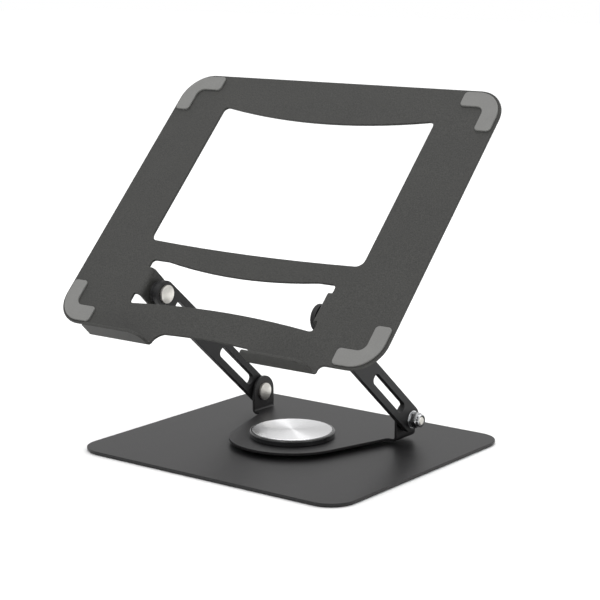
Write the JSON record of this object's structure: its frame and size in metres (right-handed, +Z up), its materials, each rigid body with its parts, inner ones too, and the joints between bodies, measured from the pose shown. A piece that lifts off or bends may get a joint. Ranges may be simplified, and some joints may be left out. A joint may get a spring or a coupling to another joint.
{
  "type": "laptop stand",
  "caption": "Adjustable laptop stand of dark sheet steel: flat base, swivelling plate on a ball bearing, slotted friction arms and a tilting open tray with lips and corner pads.",
  "frame": {"origin": "point of the desk under the middle of the base, on the swivel axis", "axes": "+X to the user's right along the tray's front edge, +Y away from the user, +Z up"},
  "size_m": [0.282, 0.22, 0.2587],
  "materials": {
    "tray_powder_coat": "matte fine-grained powder coat, dark warm grey",
    "base_powder_coat": "matte fine-grained powder coat, dark neutral grey",
    "black_powder_coat": "matte powder coat, near black",
    "zinc_plated_steel": "bright zinc plate",
    "nickel_plated_steel": "satin nickel plate",
    "bearing_steel": "oiled ground steel",
    "spun_aluminium": "spun, fine concentric turning marks",
    "gloss_black_plastic": "high gloss",
    "black_nylon": "smooth moulded nylon",
    "white_nylon": "smooth natural nylon",
    "grey_silicone": "matte silicone",
    "black_silicone": "matte fine-ribbed silicone"
  },
  "bodies": {
    "base": {"anti_slip_mat": "black_silicone", "base_plate": "base_powder_coat", "pivot_rivet": "zinc_plated_steel", "lower_race": "bearing_steel", "lower_race_rivets": "zinc_plated_steel", "thrust_washer": "zinc_plated_steel", "disc_spring": "bearing_steel"},
    "bearing_cage": {"ball_cage": "white_nylon", "bearing_balls": "bearing_steel"},
    "swivel": {"swivel_plate": "base_powder_coat", "upper_race": "bearing_steel", "upper_race_rivets": "zinc_plated_steel", "friction_disc": "white_nylon", "cover_ring": "gloss_black_plastic", "cover_disc": "spun_aluminium", "lower_bolt_left": "nickel_plated_steel", "lower_nylon_washer_left": "black_nylon", "lower_flat_washer_left": "zinc_plated_steel", "lower_nut_left": "zinc_plated_steel", "lower_nut_insert_left": "black_nylon", "lower_bolt_right": "nickel_plated_steel", "lower_nylon_washer_right": "black_nylon", "lower_flat_washer_right": "zinc_plated_steel", "lower_nut_right": "zinc_plated_steel", "lower_nut_insert_right": "black_nylon"},
    "arms": {"arm_left": "black_powder_coat", "arm_right": "black_powder_coat"},
    "tray": {"tray_plate": "tray_powder_coat", "pad_front_left": "grey_silicone", "pad_front_right": "grey_silicone", "pad_rear_left": "grey_silicone", "pad_rear_right": "grey_silicone", "upper_bolt_left": "nickel_plated_steel", "upper_arm_nylon_washer_left": "black_nylon", "upper_spacer_left": "black_nylon", "upper_tab_nylon_washer_left": "black_nylon", "upper_flat_washer_left": "zinc_plated_steel", "upper_nut_left": "zinc_plated_steel", "upper_nut_insert_left": "black_nylon", "upper_bolt_right": "nickel_plated_steel", "upper_arm_nylon_washer_right": "black_nylon", "upper_spacer_right": "black_nylon", "upper_tab_nylon_washer_right": "black_nylon", "upper_flat_washer_right": "zinc_plated_steel", "upper_nut_right": "zinc_plated_steel", "upper_nut_insert_right": "black_nylon"}
  },
  "joints": [
    {"name": "swivel_turn", "type": "hinge", "parent": "base", "child": "swivel", "pos_m": [0, 0, 0.006], "axis": [0, 0, 1], "continuous": true},
    {"name": "bearing_roll", "type": "hinge", "parent": "base", "child": "bearing_cage", "pos_m": [0, 0, 0.0045], "axis": [0, 0, 1], "continuous": true},
    {"name": "arm_lift", "type": "hinge", "parent": "swivel", "child": "arms", "pos_m": [0, 0.0485, 0.0214], "axis": [1, 0, 0], "range_deg": [-34, 24]},
    {"name": "tray_tilt", "type": "hinge", "parent": "arms", "child": "tray", "pos_m": [0, -0.05932, 0.11381], "axis": [-1, 0, 0], "range_deg": [-40, 70]}
  ],
  "couplings": [
    {"joint": "bearing_roll", "follows": "swivel_turn", "ratio": 0.5}
  ]
}
